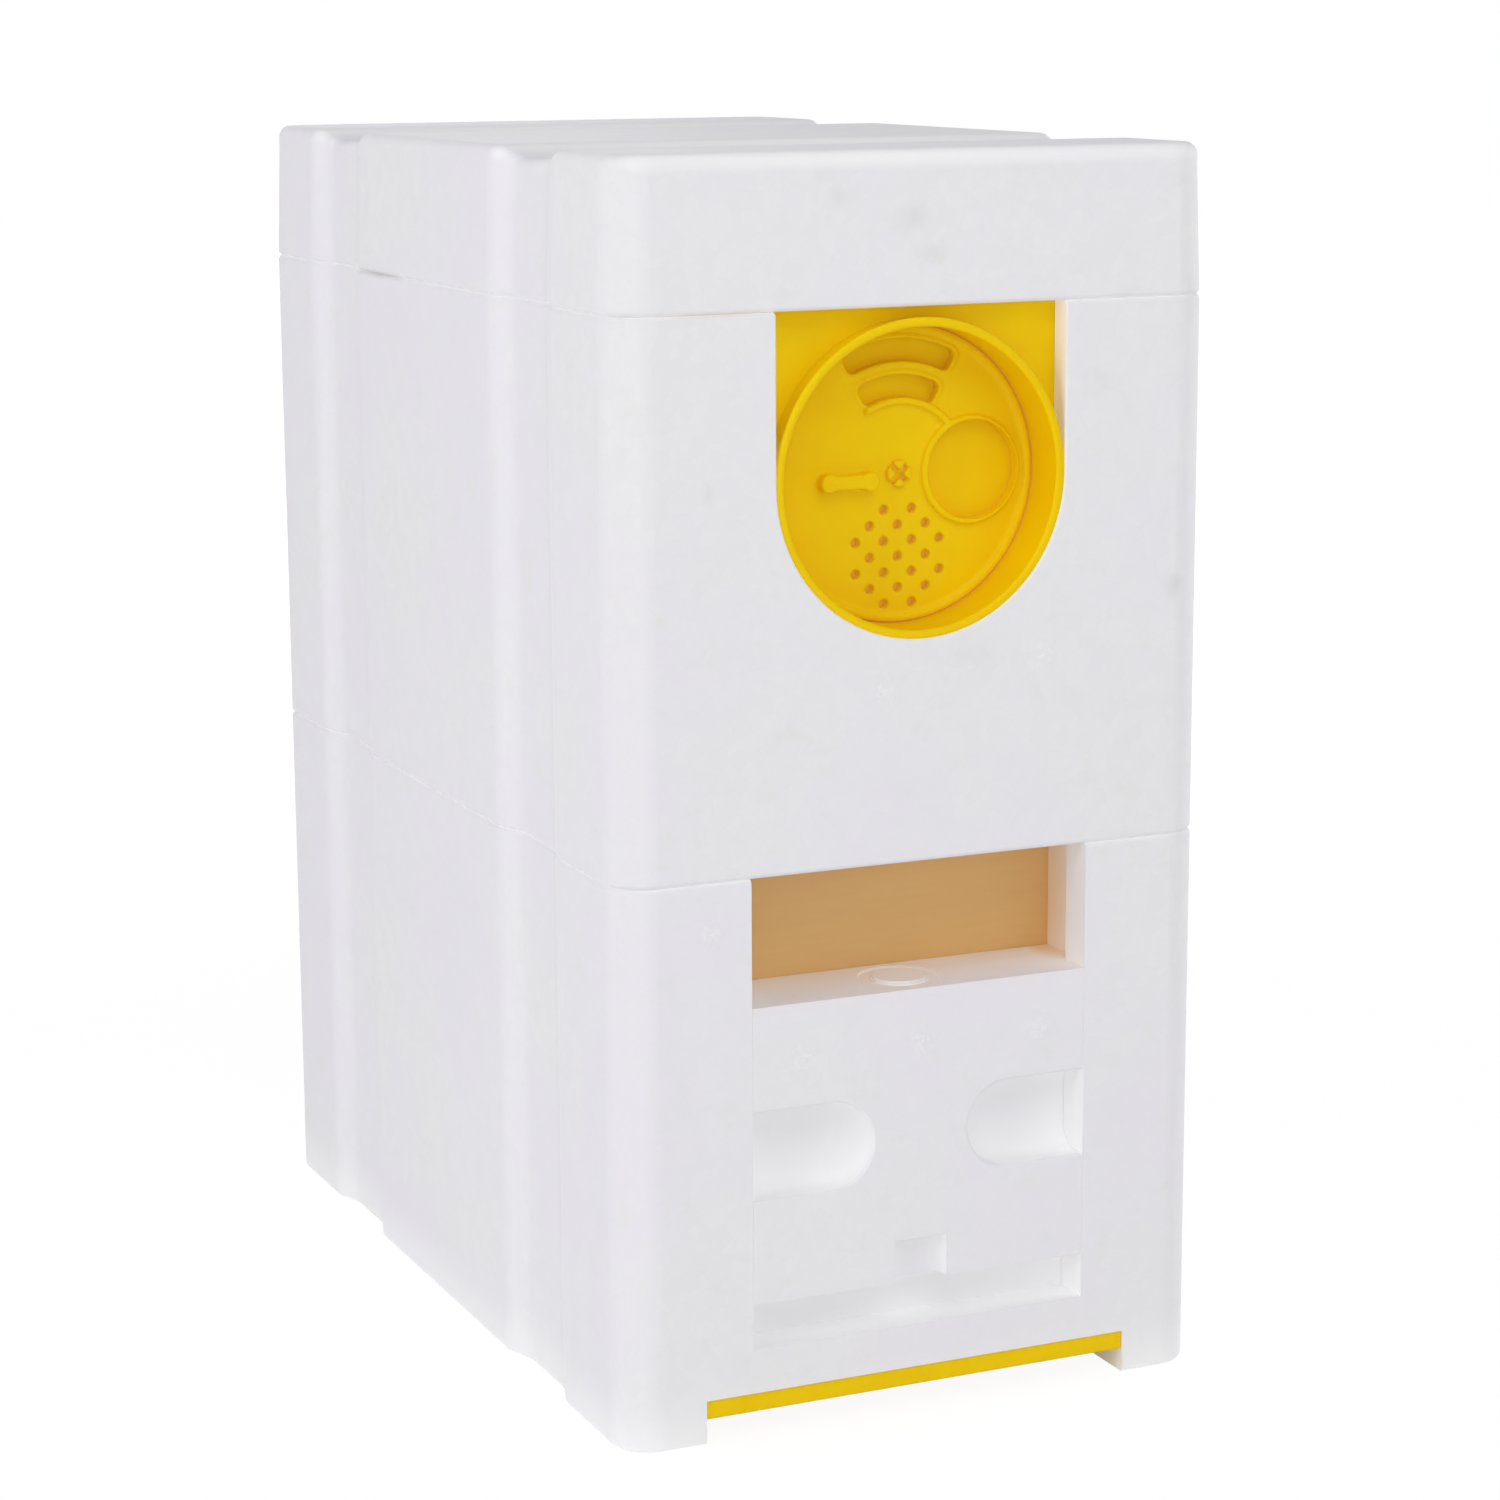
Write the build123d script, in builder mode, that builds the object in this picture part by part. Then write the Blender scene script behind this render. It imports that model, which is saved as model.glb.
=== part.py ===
"""Foam mating hive on two storeys, for a very small bee colony.

Millimetres. The origin is the centre of the base, +Z is up and the front faces -Y. Two foam storeys and a
lid stack on each other. The upper storey carries a rotary entrance, the lower one a foam gate under a window,
a feeder behind it and a plastic floor that slides between two rails. Moulded frames with wax foundation hang
across both storeys.
"""

import os
from math import acos, atan2, degrees, hypot, radians, tan

from build123d import *

os.makedirs("parts", exist_ok=True)

# Outside of the foam
WIDTH = 145.0
DEPTH = 240.0
LOWER_HEIGHT = 128.0
UPPER_HEIGHT = 122.5
LID_HEIGHT = 33.5
CORNER_RADIUS = 9.0
RIM_ROUND = 1.2
OPENING_ROUND = 0.5
LID_ROUND = 2.8
LID_DRAFT = 2.0

# Foam walls, and the clearance of what is set into them
SIDE_WALL = 17.0
FRONT_WALL = 27.0
REAR_WALL = 15.0
INNER_RADIUS = 4.0
FOAM_FIT = 0.3

# Strap grooves up both long sides and over the lid
STRAP_SPACING = 130.0
STRAP_MOUTH = 37.0
STRAP_FLOOR = 21.0
STRAP_DEPTH = 2.8
STRAP_ROUND = 12.0

# Ribs on the lower rim that register the upper storey
RIB_LENGTH = 150.0
RIB_WIDTH = 3.0
RIB_HEIGHT = 2.5

# Rails, foam floor and sliding floor
RAIL_WIDTH = 19.5
RAIL_HEIGHT = 10.2
FLOOR_FOAM = 10.3
SLIDE_THICKNESS = 4.2
SLIDE_TONGUE = 3.0
SLIDE_STOP = 12.0
SLIDE_SETBACK = 0.5
SLIDE_FIT = 0.2
VENT_WIDTH = 70.0
VENT_LENGTH = 90.0
VENT_CENTRE = 25.0
GRILLE_SLOT = 3.0
GRILLE_PITCH = 6.4
GRILLE_COLUMNS = 2
GRILLE_MARGIN = 4.0
PULL_LENGTH = 34.0
PULL_WIDTH = 9.0
PULL_INSET = 12.0

# Foam gate in the lower front wall
GATE_WIDTH = 83.0
GATE_HEIGHT = 78.5
GATE_LIP = 9.0
GATE_FLANGE = 3.0
GATE_FIT = 0.1
GRIP_HEIGHT = 20.0
GRIP_LEVEL = 44.5
GRIP_POST = 24.0
GRIP_ROUND = 0.8
GRIP_FLOOR_ROUND = 6.0
FOOT_SLOT = 10.3
NOTCH_WIDTH = 13.0
NOTCH_HEIGHT = 10.0
NOTCH_DEPTH = 4.0
NOTCH_FLOOR_ROUND = 2.5
MARK_DIAMETER = 19.0
MARK_WIDTH = 3.0
MARK_DEPTH = 0.5

# Feed chamber, and the board that closes the window from behind
FEED_LENGTH = 24.0
BOARD_THICKNESS = 4.0
BOARD_SEAT = 6.5
BOARD_HEADROOM = 1.0
PASSAGE_WIDTH = 60.0
PASSAGE_DEPTH = 18.0
TROUGH_HEIGHT = 59.5
TROUGH_WALL = 1.4
TROUGH_FIT = 0.5
GRID_THICKNESS = 2.0
GRID_RIM = 1.5
GRID_SLOT = 4.2
GRID_PITCH = 7.4
GRID_MARGIN = 4.0

# Rotary entrance in the upper front wall
CUTOUT_WIDTH = 70.0
DISC_HEADROOM = 2.5
PLATE_SETBACK = 5.7
PLATE_THICKNESS = 2.6
PLATE_EDGE = 4.0
WELL_WALL = 1.4
WELL_SETBACK = 0.7
WELL_DEPTH = 14.4
WELL_FLOOR = 2.0
WELL_ROUND = 0.6
PORT_MIDDLE = 180.0
PORT_INNER = 6.4
PORT_LEDGE = 3.7
PORT_SPREAD = 80.0
PORT_ROUND = 3.0
DISC_GAP = 0.2
DISC_FIT = 0.4
DISC_THICKNESS = 2.4
DISC_LIP_WIDTH = 1.6
DISC_LIP_HEIGHT = 0.8
RELIEF_HEIGHT = 1.2
RELIEF_WIDTH = 1.5
RELIEF_ROUND = 0.35
HOLE_START = 7.0
HOLE_MARGIN = 3.7
HOLE_LIP_WIDTH = 1.0
HOLE_LIP_SHIFT = 0.6
SLOT_WIDTH = 5.0
SLOT_ROUND = 1.6
SLOT_SPREAD = 57.0
SLOT_STEP = 7.9
SLOT_MARGIN = 3.2
SLOT_LIP_WIDTH = 0.9
SLOT_LIP_HEIGHT = 0.45
AIR_HOLE = 2.2
AIR_STEP = 6.9
AIR_ROW_STEP = 3.5
AIR_MARGIN = 2.9
AIR_ROWS = (2, 3, 4, 3, 4, 3, 2)
BAR_START = 5.7
BAR_END = 19.9
BAR_WIDTH = 3.2
BAR_KNOB = 4.3
BAR_HEIGHT = 3.0
BAR_DROP = 1.1
PIN_DIAMETER = 5.0
PIN_RUNNING_FIT = 0.05
PIN_SEAT_FIT = 0.02
PIN_BEAD = 0.5
PIN_BEAD_HEIGHT = 0.9
PIN_HEAD_DIAMETER = 9.0
PIN_HEAD_HEIGHT = 1.8
PIN_SLIT = 1.3
PIN_SLIT_DEPTH = 2.0

# Frames and foundation
FRAME_PITCH = 32.8
FRAME_HEADROOM = 0.8
FRAME_GAP = 0.3
BEE_SPACE = 9.0
FLOOR_SPACE = 8.7
SIDE_SPACE = 6.0
LEDGE = 6.5
LUG_END_GAP = 1.0
TOP_BAR_HEIGHT = 8.0
TOP_BAR_WIDTH = 22.0
SIDE_BAR = 5.0
SHOULDER_HEIGHT = 34.0
BOTTOM_BAR_HEIGHT = 5.0
BOTTOM_BAR_WIDTH = 14.0
FOUNDATION = 1.4
FOUNDATION_SEAT = 2.0
FOUNDATION_FIT = 0.15

# Inner cover and the lid's plug
COVER_THICKNESS = 1.0
COVER_EDGE_GAP = 1.0
COVER_SPACE = 3.3
PLUG_DEPTH = 12.0
PLUG_FIT = 0.5
PLUG_ROUND = 2.0

# Levels and places that follow from the sizes above
front = -DEPTH / 2
inner_half = WIDTH / 2 - SIDE_WALL
inner_front = front + FRONT_WALL
inner_rear = DEPTH / 2 - REAR_WALL
inner_length = inner_rear - inner_front
inner_middle = (inner_front + inner_rear) / 2
floor_top = RAIL_HEIGHT + FLOOR_FOAM
lower_frame_top = LOWER_HEIGHT - FRAME_HEADROOM
upper_top = LOWER_HEIGHT + UPPER_HEIGHT
upper_frame_top = upper_top - PLUG_DEPTH - COVER_SPACE - COVER_THICKNESS
rail_inner = WIDTH / 2 - RAIL_WIDTH
ledge_half = inner_half + LEDGE
rib_place = (WIDTH / 2 - STRAP_DEPTH + ledge_half) / 2
board_front = inner_front - BOARD_THICKNESS
board_width = GATE_WIDTH + 2 * (GATE_FLANGE + BOARD_SEAT)
feed_rear = inner_front + FEED_LENGTH
cutout_rise = CUTOUT_WIDTH / 2 + DISC_HEADROOM
disc_centre = upper_top - cutout_rise
well_radius = CUTOUT_WIDTH / 2 - FOAM_FIT - WELL_WALL
disc_radius = well_radius - DISC_FIT


def finish(piece, name):
    """Labels a finished piece and writes it."""
    piece.label = name
    export_step(piece, f"parts/{name}.step")


def front_plane(setback, level=0.0):
    """A plane that faces the front, a given way behind the front face, with its origin at a given level."""
    return Plane((0, front + setback, level), x_dir=(1, 0, 0), z_dir=(0, -1, 0))


def arc_band(inner, outer, middle, spread):
    """Draws a piece of a ring between two radii, about a middle angle, in the sketch that is open."""
    start = middle - spread / 2
    with BuildLine() as outline:
        inner_arc = CenterArc((0, 0), inner, start, spread)
        outer_arc = CenterArc((0, 0), outer, start, spread)
        Line(inner_arc @ 0, outer_arc @ 0)
        Line(inner_arc @ 1, outer_arc @ 1)
    make_face(outline.edges())


def cutout_outline(half_width):
    """Draws the U of the entrance, open at the top rim, in the sketch that is open."""
    Circle(half_width)
    Rectangle(2 * half_width, cutout_rise, align=(Align.CENTER, Align.MIN))


def in_cutout(point):
    """Whether a point on the front face is on the edge of the entrance's U."""
    return abs(point.X) < CUTOUT_WIDTH / 2 + OPENING_ROUND and LOWER_HEIGHT + RIM_ROUND < point.Z < upper_top


def in_grip(point):
    """Whether a point on the gate's face is on the edge of a grip."""
    inside_sides = abs(point.X) < GATE_WIDTH / 2 - 2 * GATE_FIT
    return inside_sides and abs(point.Z - floor_top - GRIP_LEVEL) <= GRIP_HEIGHT / 2


# Plan of the foam: a rounded rectangle with two strap grooves in each long side
strap_run = (STRAP_MOUTH - STRAP_FLOOR) / 2
strap_slope = degrees(atan2(STRAP_DEPTH, strap_run))
strap_round = min(STRAP_ROUND, 0.49 * hypot(STRAP_DEPTH, strap_run) / tan(radians(strap_slope / 2)))
strap_places = (-STRAP_SPACING / 2, STRAP_SPACING / 2)
with BuildSketch() as foam_plan:
    RectangleRounded(WIDTH, DEPTH, CORNER_RADIUS)
    for side in (-1, 1):
        with Locations(*[(side * WIDTH / 2, place) for place in strap_places]):
            Trapezoid(
                STRAP_MOUTH,
                STRAP_DEPTH,
                strap_slope,
                rotation=90 * side,
                align=(Align.CENTER, Align.MIN),
                mode=Mode.SUBTRACT,
            )
    groove_reach = (STRAP_SPACING + STRAP_MOUTH) / 2
    groove_corners = foam_plan.vertices().filter_by(lambda corner: abs(corner.Y) < groove_reach + RIM_ROUND)
    fillet(groove_corners, strap_round)

# Lower storey
with BuildPart() as lower_body:
    with BuildSketch():
        add(foam_plan.sketch)
    extrude(amount=LOWER_HEIGHT)
    rims = lower_body.faces().sort_by(Axis.Z)
    fillet(rims[0].edges() + rims[-1].edges(), RIM_ROUND)
    # Room for combs and feeder
    with BuildSketch(Plane.XY.offset(floor_top)):
        with Locations((0, inner_middle)):
            RectangleRounded(2 * inner_half, inner_length, INNER_RADIUS)
    extrude(amount=LOWER_HEIGHT, mode=Mode.SUBTRACT)
    # Ledges that carry the frames' lugs
    with BuildSketch(Plane.XY.offset(lower_frame_top - TOP_BAR_HEIGHT)):
        with Locations((0, inner_rear)):
            Rectangle(2 * ledge_half, inner_rear - feed_rear, align=(Align.CENTER, Align.MAX))
    extrude(amount=LOWER_HEIGHT, mode=Mode.SUBTRACT)
    # Window and gate opening: between the front lips, wider for the gate's flange and for the board behind it
    steps = (
        (GATE_WIDTH, front),
        (GATE_WIDTH + 2 * GATE_FLANGE, front + GATE_LIP),
        (board_width + 2 * FOAM_FIT, board_front),
    )
    with BuildSketch(Plane.XY.offset(floor_top)):
        for width, start in steps:
            with Locations((0, start)):
                Rectangle(width, inner_front - start, align=(Align.CENTER, Align.MIN))
    extrude(amount=LOWER_HEIGHT, mode=Mode.SUBTRACT)
    # Channel between the rails, and the grooves that carry the sliding floor
    with BuildSketch():
        Rectangle(2 * rail_inner, DEPTH)
    extrude(amount=RAIL_HEIGHT, mode=Mode.SUBTRACT)
    with BuildSketch(Plane.XY.offset(RAIL_HEIGHT)):
        with Locations((0, front + SLIDE_STOP)):
            Rectangle(2 * (rail_inner + SLIDE_TONGUE), DEPTH, align=(Align.CENTER, Align.MIN))
    extrude(amount=-(SLIDE_THICKNESS + 2 * SLIDE_FIT), mode=Mode.SUBTRACT)
    # Vent through the foam floor
    with BuildSketch(Plane.XY.offset(RAIL_HEIGHT)):
        with Locations((0, VENT_CENTRE)):
            RectangleRounded(VENT_WIDTH, VENT_LENGTH, INNER_RADIUS)
    extrude(amount=FLOOR_FOAM, mode=Mode.SUBTRACT)
    # Ribs on the rim
    with BuildSketch(Plane.XY.offset(LOWER_HEIGHT)):
        with Locations((-rib_place, 0), (rib_place, 0)):
            SlotOverall(RIB_LENGTH, RIB_WIDTH, rotation=90)
    extrude(amount=RIB_HEIGHT)
finish(lower_body.part, "lower_body")

# Upper storey
with BuildPart() as upper_body:
    with BuildSketch(Plane.XY.offset(LOWER_HEIGHT)):
        add(foam_plan.sketch)
    extrude(amount=UPPER_HEIGHT)
    rims = upper_body.faces().sort_by(Axis.Z)
    fillet(rims[0].edges() + rims[-1].edges(), RIM_ROUND)
    # Room for combs, open at both ends
    with BuildSketch(Plane.XY.offset(LOWER_HEIGHT)):
        with Locations((0, inner_middle)):
            RectangleRounded(2 * inner_half, inner_length, INNER_RADIUS)
    extrude(amount=UPPER_HEIGHT, mode=Mode.SUBTRACT)
    # Ledges for the lugs; the lid's plug fills the same recess
    with BuildSketch(Plane.XY.offset(upper_frame_top - TOP_BAR_HEIGHT)):
        with Locations((0, inner_middle)):
            RectangleRounded(2 * ledge_half, inner_length, INNER_RADIUS)
    extrude(amount=UPPER_HEIGHT, mode=Mode.SUBTRACT)
    # U cut-out through the front wall, and the wider slot that holds the entrance plate
    with BuildSketch(front_plane(FRONT_WALL, disc_centre)):
        cutout_outline(CUTOUT_WIDTH / 2)
    extrude(amount=FRONT_WALL, mode=Mode.SUBTRACT)
    front_face = upper_body.faces().sort_by(Axis.Y)[0]
    fillet(front_face.edges().filter_by(lambda edge: in_cutout(edge.center())), OPENING_ROUND)
    with BuildSketch(front_plane(PLATE_SETBACK - FOAM_FIT, disc_centre)):
        cutout_outline(CUTOUT_WIDTH / 2 + PLATE_EDGE + FOAM_FIT)
    extrude(amount=-(PLATE_THICKNESS + 2 * FOAM_FIT), mode=Mode.SUBTRACT)
    # Grooves over the lower storey's ribs
    with BuildSketch(Plane.XY.offset(LOWER_HEIGHT)):
        with Locations((-rib_place, 0), (rib_place, 0)):
            SlotOverall(RIB_LENGTH + 2 * FOAM_FIT, RIB_WIDTH + 2 * FOAM_FIT, rotation=90)
    extrude(amount=RIB_HEIGHT + FOAM_FIT, mode=Mode.SUBTRACT)
finish(upper_body.part, "upper_body")

# Lid: the same plan drawn in by its draft, cut to a side view with the strap grooves, and a plug below
with BuildPart() as lid:
    with BuildSketch(Plane.XY.offset(upper_top)):
        add(foam_plan.sketch)
    extrude(amount=LID_HEIGHT, taper=LID_DRAFT)
    lid_top = upper_top + LID_HEIGHT
    with BuildSketch(Plane.YZ) as lid_side_view:
        with Locations((0, upper_top)):
            Rectangle(DEPTH, LID_HEIGHT, align=(Align.CENTER, Align.MIN))
        with Locations(*[(place, lid_top) for place in strap_places]):
            Trapezoid(
                STRAP_MOUTH,
                STRAP_DEPTH,
                strap_slope,
                rotation=180,
                align=(Align.CENTER, Align.MIN),
                mode=Mode.SUBTRACT,
            )
        groove_corners = lid_side_view.vertices().filter_by(
            lambda corner: abs(corner.X) < groove_reach + RIM_ROUND
        )
        fillet(groove_corners, strap_round)
    extrude(amount=WIDTH, both=True, mode=Mode.INTERSECT)
    tops = lid.faces().filter_by(lambda face: face.normal_at().Z > 0.7)
    sides = lid.faces().filter_by(lambda face: abs(face.normal_at().Z) < 0.3)
    fillet(tops.edges() & sides.edges(), LID_ROUND)
    fillet(lid.faces().sort_by(Axis.Z)[0].edges(), RIM_ROUND)
    with BuildSketch(Plane.XY.offset(upper_top)):
        with Locations((0, inner_middle)):
            RectangleRounded(2 * (ledge_half - PLUG_FIT), inner_length - 2 * PLUG_FIT, INNER_RADIUS)
    extrude(amount=-PLUG_DEPTH)
    fillet(lid.faces().sort_by(Axis.Z)[0].edges(), PLUG_ROUND)
finish(lid.part, "lid")

# Pocket of the pinch grip on the right: half round towards the middle, with a rounded floor
with BuildPart() as grip_pocket:
    with BuildSketch(front_plane(0, floor_top + GRIP_LEVEL)):
        with Locations(((GRIP_POST + GRIP_HEIGHT) / 2, 0)):
            Circle(GRIP_HEIGHT / 2)
            Rectangle(GATE_WIDTH / 2, GRIP_HEIGHT, align=(Align.MIN, Align.CENTER))
    extrude(amount=-(GATE_LIP + FOAM_FIT))
    pocket_floor = grip_pocket.faces().sort_by(Axis.Y)[-1]
    fillet(pocket_floor.edges(), GRIP_FLOOR_ROUND)

# Pocket of the finger notch, open to the foot slot below
with BuildPart() as notch_pocket:
    with BuildSketch(front_plane(0, floor_top)):
        Rectangle(NOTCH_WIDTH, FOOT_SLOT + NOTCH_HEIGHT, align=(Align.CENTER, Align.MIN))
    extrude(amount=-NOTCH_DEPTH)
    pocket_floor = notch_pocket.faces().sort_by(Axis.Y)[-1]
    fillet(pocket_floor.edges(), NOTCH_FLOOR_ROUND)

# Foam gate: a flange between the front lips and the board, and a pad that fills the opening
with BuildPart() as front_gate:
    flange_depth = board_front - front - GATE_LIP
    with BuildSketch(front_plane(GATE_LIP + FOAM_FIT, floor_top)):
        flange_width = GATE_WIDTH + 2 * (GATE_FLANGE - FOAM_FIT)
        Rectangle(flange_width, GATE_HEIGHT, align=(Align.CENTER, Align.MIN))
    extrude(amount=-(flange_depth - 2 * FOAM_FIT))
    with BuildSketch(front_plane(GATE_LIP + FOAM_FIT, floor_top)):
        with Locations((0, FOOT_SLOT)):
            pad_width = GATE_WIDTH - 2 * GATE_FIT
            Rectangle(pad_width, GATE_HEIGHT - FOOT_SLOT, align=(Align.CENTER, Align.MIN))
    extrude(amount=GATE_LIP + FOAM_FIT)
    add(grip_pocket.part, mode=Mode.SUBTRACT)
    mirror(grip_pocket.part, about=Plane.YZ, mode=Mode.SUBTRACT)
    pad_edges = front_gate.faces().sort_by(Axis.Y)[0].edges()
    grip_edges = pad_edges.filter_by(lambda edge: in_grip(edge.center()))
    fillet(grip_edges, GRIP_ROUND)
    add(notch_pocket.part, mode=Mode.SUBTRACT)
    # Ring left by the mould's filling port, on the window sill
    with BuildSketch(Plane.XY.offset(floor_top + GATE_HEIGHT)):
        with Locations((0, (front + board_front) / 2)):
            Circle(MARK_DIAMETER / 2)
            Circle(MARK_DIAMETER / 2 - MARK_WIDTH, mode=Mode.SUBTRACT)
    extrude(amount=-MARK_DEPTH, mode=Mode.SUBTRACT)
finish(front_gate.part, "front_gate")

# Sliding floor: a plate with edge tongues, a grille under the vent and a pull at the rear
with BuildPart() as floor_slide:
    with BuildSketch(Plane.XY.offset(RAIL_HEIGHT - SLIDE_FIT)):
        with Locations((0, front + SLIDE_SETBACK)):
            Rectangle(
                2 * (rail_inner - FOAM_FIT), DEPTH - 2 * SLIDE_SETBACK, align=(Align.CENTER, Align.MIN)
            )
        with Locations((0, front + SLIDE_STOP + FOAM_FIT)):
            Rectangle(
                2 * (rail_inner + SLIDE_TONGUE - FOAM_FIT),
                DEPTH - SLIDE_STOP - FOAM_FIT - SLIDE_SETBACK,
                align=(Align.CENTER, Align.MIN),
            )
        grille_rows = int((VENT_LENGTH - 2 * GRILLE_MARGIN) // GRILLE_PITCH)
        column_width = (VENT_WIDTH - 2 * GRILLE_MARGIN) / GRILLE_COLUMNS
        with Locations((0, VENT_CENTRE)):
            with GridLocations(column_width, GRILLE_PITCH, GRILLE_COLUMNS, grille_rows):
                SlotOverall(column_width - GRILLE_MARGIN, GRILLE_SLOT, mode=Mode.SUBTRACT)
        with Locations((0, DEPTH / 2 - PULL_INSET)):
            SlotOverall(PULL_LENGTH, PULL_WIDTH, mode=Mode.SUBTRACT)
    extrude(amount=-SLIDE_THICKNESS)
finish(floor_slide.part, "floor_slide")

# Division board: drops into a rebate of the front wall, behind the gate and in front of the feed chamber
with BuildPart() as division_board:
    with BuildSketch(front_plane(FRONT_WALL - BOARD_THICKNESS, floor_top)):
        board_height = LOWER_HEIGHT - floor_top - BOARD_HEADROOM
        Rectangle(board_width, board_height, align=(Align.CENTER, Align.MIN))
    extrude(amount=-BOARD_THICKNESS)
finish(division_board.part, "division_board")

# Feed trough, with a passage in its rear wall
trough_width = 2 * (inner_half - TROUGH_FIT)
trough_length = FEED_LENGTH - 2 * TROUGH_FIT
trough_middle = inner_front + FEED_LENGTH / 2
trough_top = floor_top + TROUGH_HEIGHT
with BuildPart() as feed_trough:
    with BuildSketch(Plane.XY.offset(floor_top)):
        with Locations((0, trough_middle)):
            RectangleRounded(trough_width, trough_length, INNER_RADIUS)
    extrude(amount=TROUGH_HEIGHT)
    offset(amount=-TROUGH_WALL, openings=feed_trough.faces().sort_by(Axis.Z)[-1])
    with BuildSketch(front_plane(FRONT_WALL + FEED_LENGTH, trough_top)):
        Rectangle(PASSAGE_WIDTH, PASSAGE_DEPTH, align=(Align.CENTER, Align.MAX))
    extrude(amount=TROUGH_FIT + 2 * TROUGH_WALL, mode=Mode.SUBTRACT)
finish(feed_trough.part, "feed_trough")

# Slotted grid over the trough, with a rim that drops inside it
with BuildPart() as feed_grid:
    rim_inset = TROUGH_WALL + FOAM_FIT
    with BuildSketch(Plane.XY.offset(trough_top)):
        with Locations((0, trough_middle)):
            RectangleRounded(trough_width, trough_length, INNER_RADIUS)
    extrude(amount=GRID_THICKNESS)
    with BuildSketch(Plane.XY.offset(trough_top)):
        with Locations((0, trough_middle)):
            rim_radius = INNER_RADIUS - rim_inset
            RectangleRounded(trough_width - 2 * rim_inset, trough_length - 2 * rim_inset, rim_radius)
            Rectangle(
                trough_width - 2 * (rim_inset + GRID_RIM),
                trough_length - 2 * (rim_inset + GRID_RIM),
                mode=Mode.SUBTRACT,
            )
    extrude(amount=-GRID_RIM)
    with BuildSketch(Plane.XY.offset(trough_top)):
        with Locations((0, trough_middle)):
            grid_slots = int((trough_width - 2 * GRID_MARGIN) // GRID_PITCH)
            with GridLocations(GRID_PITCH, trough_length, grid_slots, 1):
                SlotOverall(trough_length - 2 * GRID_MARGIN, GRID_SLOT, rotation=90)
    extrude(amount=GRID_THICKNESS, mode=Mode.SUBTRACT)
finish(feed_grid.part, "feed_grid")

# Entrance plate: a U-shaped plate in the foam's slot, with a round well for the disc
plate_half = CUTOUT_WIDTH / 2 + PLATE_EDGE
plate_top = cutout_rise - FOAM_FIT
well_floor_setback = WELL_SETBACK + WELL_DEPTH
with BuildPart() as entrance_plate:
    with BuildSketch(front_plane(PLATE_SETBACK, disc_centre)):
        cutout_outline(plate_half)
        with Locations((0, plate_top)):
            below_rim = (Align.CENTER, Align.MAX)
            Rectangle(2 * plate_half, plate_half + plate_top, align=below_rim, mode=Mode.INTERSECT)
    extrude(amount=-PLATE_THICKNESS)
    with BuildSketch(front_plane(WELL_SETBACK, disc_centre)):
        Circle(well_radius + WELL_WALL)
    extrude(amount=-(WELL_DEPTH + WELL_FLOOR))
    with BuildSketch(front_plane(WELL_SETBACK, disc_centre)):
        Circle(well_radius)
    extrude(amount=-WELL_DEPTH, mode=Mode.SUBTRACT)
    well_rim = entrance_plate.faces().sort_by(Axis.Y)[0]
    fillet(well_rim.edges(), WELL_ROUND)
    # Port in the well's floor that the disc opens, airs or shuts
    with BuildSketch(front_plane(well_floor_setback, disc_centre)) as port:
        arc_band(PORT_INNER, well_radius - PORT_LEDGE, PORT_MIDDLE, PORT_SPREAD)
        fillet(port.vertices(), PORT_ROUND)
    extrude(amount=-WELL_FLOOR, mode=Mode.SUBTRACT)
    with BuildSketch(front_plane(well_floor_setback, disc_centre)):
        Circle(PIN_DIAMETER / 2 + PIN_SEAT_FIT)
    extrude(amount=-WELL_FLOOR, mode=Mode.SUBTRACT)
finish(entrance_plate.part, "entrance_plate")

# Entrance disc: open hole to the right, excluder arcs above, air holes below and a finger bar to the left
disc_back = front_plane(well_floor_setback - DISC_GAP, disc_centre)
disc_face = disc_back.offset(DISC_THICKNESS)
hole_radius = (disc_radius - HOLE_MARGIN - HOLE_START) / 2
hole_place = HOLE_START + hole_radius
outer_slot = disc_radius - SLOT_MARGIN - SLOT_WIDTH / 2
slot_radii = (outer_slot, outer_slot - SLOT_STEP)
air_height = (len(AIR_ROWS) - 1) * AIR_ROW_STEP
air_place = disc_radius - AIR_MARGIN - (air_height + AIR_HOLE) / 2
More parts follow.
